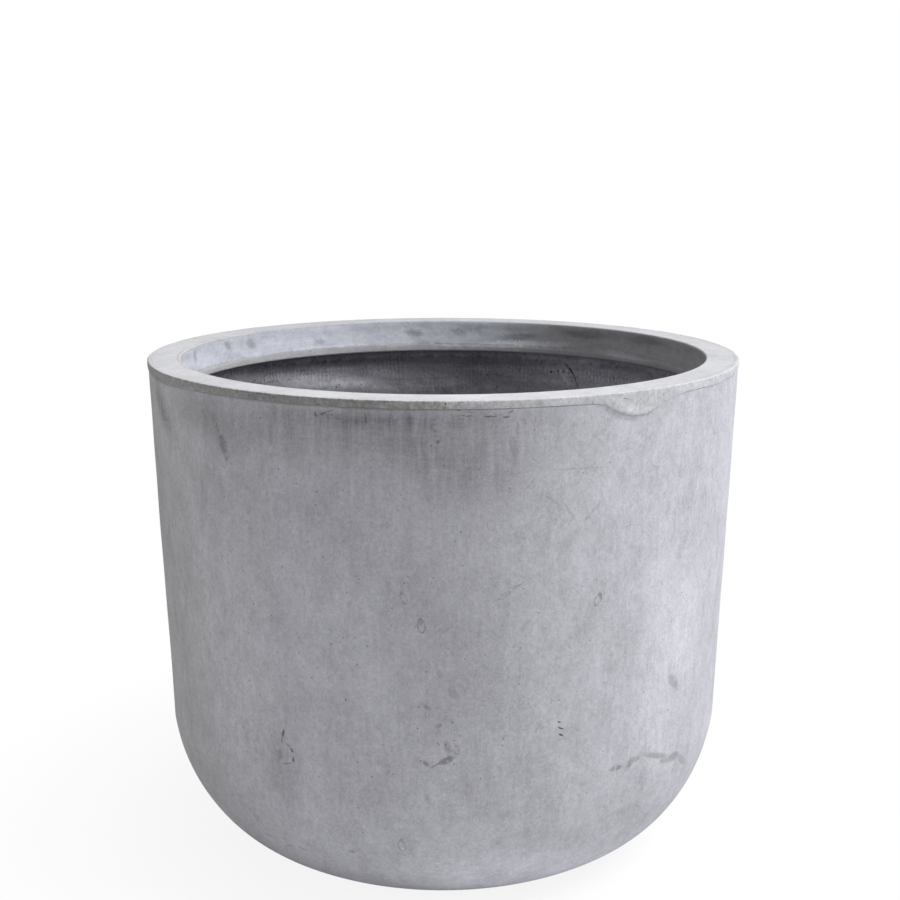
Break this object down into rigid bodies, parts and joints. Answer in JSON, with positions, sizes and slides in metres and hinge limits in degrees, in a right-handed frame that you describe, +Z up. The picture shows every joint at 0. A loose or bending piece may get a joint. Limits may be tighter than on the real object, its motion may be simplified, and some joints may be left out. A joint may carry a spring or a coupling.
{
  "type": "bowl planter",
  "caption": "Round floor planter in thin-wall fibre concrete, with a bowl-shaped foot, a thickened rim and a plugged floor drain.",
  "frame": {"origin": "centre of the standing face, on the planter's axis", "axes": "+Z up along the axis of revolution, -Y towards the side that the picture shows"},
  "size_m": [0.48, 0.48, 0.4],
  "materials": {
    "fair_face_concrete": "smooth matt fair-faced concrete, light cool grey, finely mottled, with pinholes",
    "rim_concrete": "matt cast concrete, trowelled flat on top, with a thin slurry edge outside",
    "hand_laid_concrete": "rough hand-laid fibre concrete, darker grey, with the print of the mesh",
    "glass_fibre": "white alkali-resistant glass fibre, soaked with mortar",
    "sleeve_plastic": "dark grey moulded plastic",
    "plug_rubber": "matt black rubber"
  },
  "bodies": {
    "vessel": {"outer_skin": "fair_face_concrete", "bowl_mesh": "glass_fibre", "wall_mesh": "glass_fibre", "bowl_backing": "hand_laid_concrete", "wall_backing": "hand_laid_concrete", "rim_roving": "glass_fibre", "rim_collar": "rim_concrete", "floor_slab": "hand_laid_concrete", "drain_sleeve": "sleeve_plastic"},
    "plug": {"drain_plug": "plug_rubber"}
  },
  "joints": [
    {"name": "plug_pull", "type": "slide", "parent": "vessel", "child": "plug", "axis": [0, 0, 1], "range_m": [0, 0.022]}
  ]
}
